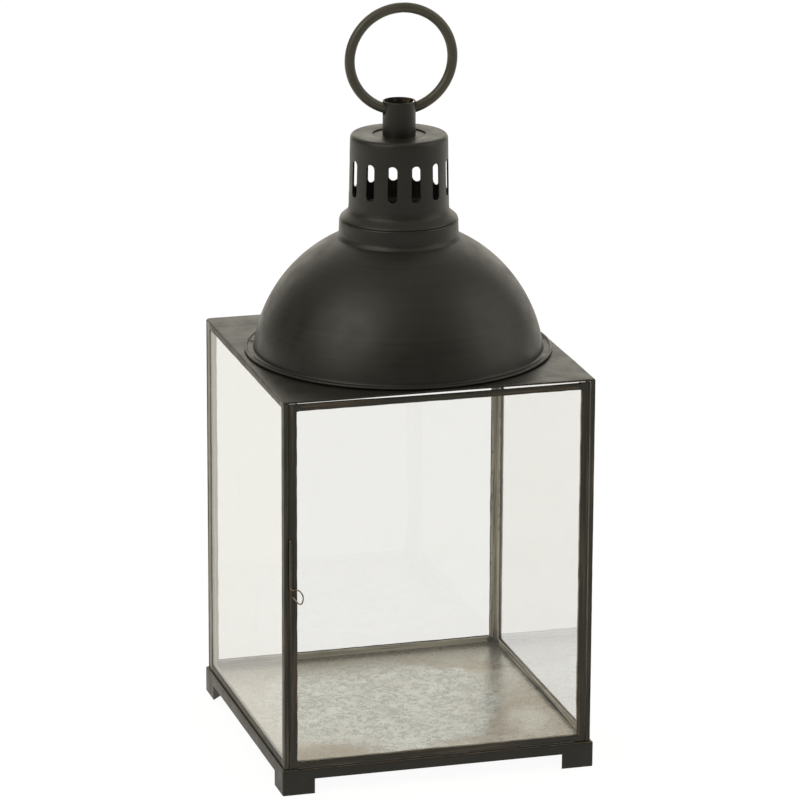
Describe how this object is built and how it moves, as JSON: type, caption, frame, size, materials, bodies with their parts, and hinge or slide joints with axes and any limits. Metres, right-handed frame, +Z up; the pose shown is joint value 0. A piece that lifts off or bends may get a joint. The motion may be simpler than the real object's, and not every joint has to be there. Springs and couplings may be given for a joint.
{
  "type": "candle lantern",
  "caption": "Square glass candle lantern with a hinged glazed door, a spun metal dome, a vented chimney and a hanging ring, on a footed tray.",
  "frame": {"origin": "centre of the base, on the surface the feet stand on", "axes": "+X to the right along the door, -Y out through the door, +Z up"},
  "size_m": [0.2054, 0.2054, 0.4833],
  "materials": {
    "blackened_metal": "satin blackened bronze, brownish along worn edges",
    "clear_glass": "clear float glass",
    "galvanised_zinc": "spangled galvanised sheet with brown-grey staining",
    "latch_wire": "darkened drawn wire"
  },
  "bodies": {
    "lantern": {"base_tray": "blackened_metal", "foot_front_left": "blackened_metal", "foot_front_right": "blackened_metal", "foot_back_left": "blackened_metal", "foot_back_right": "blackened_metal", "floor_plate": "galvanised_zinc", "left_panel_glass": "clear_glass", "left_panel_bottom_channel": "blackened_metal", "left_panel_top_channel": "blackened_metal", "left_panel_front_channel": "blackened_metal", "left_panel_back_channel": "blackened_metal", "right_panel_glass": "clear_glass", "right_panel_bottom_channel": "blackened_metal", "right_panel_top_channel": "blackened_metal", "right_panel_front_channel": "blackened_metal", "right_panel_back_channel": "blackened_metal", "back_panel_glass": "clear_glass", "back_panel_bottom_channel": "blackened_metal", "back_panel_top_channel": "blackened_metal", "back_panel_left_channel": "blackened_metal", "back_panel_right_channel": "blackened_metal", "roof_plate": "blackened_metal", "dome": "blackened_metal", "dome_tacks": "blackened_metal", "dome_collar": "blackened_metal", "chimney": "blackened_metal", "hanger_disc": "blackened_metal", "hanger_tube": "blackened_metal"},
    "door": {"door_glass": "clear_glass", "door_bottom_channel": "blackened_metal", "door_top_channel": "blackened_metal", "door_latch_channel": "blackened_metal", "door_hinge_channel": "blackened_metal", "upper_hinge_pin": "blackened_metal", "lower_hinge_pin": "blackened_metal", "latch_sleeve": "blackened_metal"},
    "latch": {"latch_wire": "latch_wire"},
    "ring": {"hanging_ring": "blackened_metal"}
  },
  "joints": [
    {"name": "door_hinge", "type": "hinge", "parent": "lantern", "child": "door", "pos_m": [0.09605, -0.0995, 0], "axis": [0, 0, 1], "range_deg": [0, 105]},
    {"name": "latch_turn", "type": "hinge", "parent": "door", "child": "latch", "pos_m": [-0.0972, -0.10176, 0], "axis": [0, 0, 1], "range_deg": [-160, 0]},
    {"name": "ring_swing", "type": "hinge", "parent": "lantern", "child": "ring", "pos_m": [0.001, 0, 0.4158], "axis": [1, 0, 0], "range_deg": [-125, 125]}
  ]
}
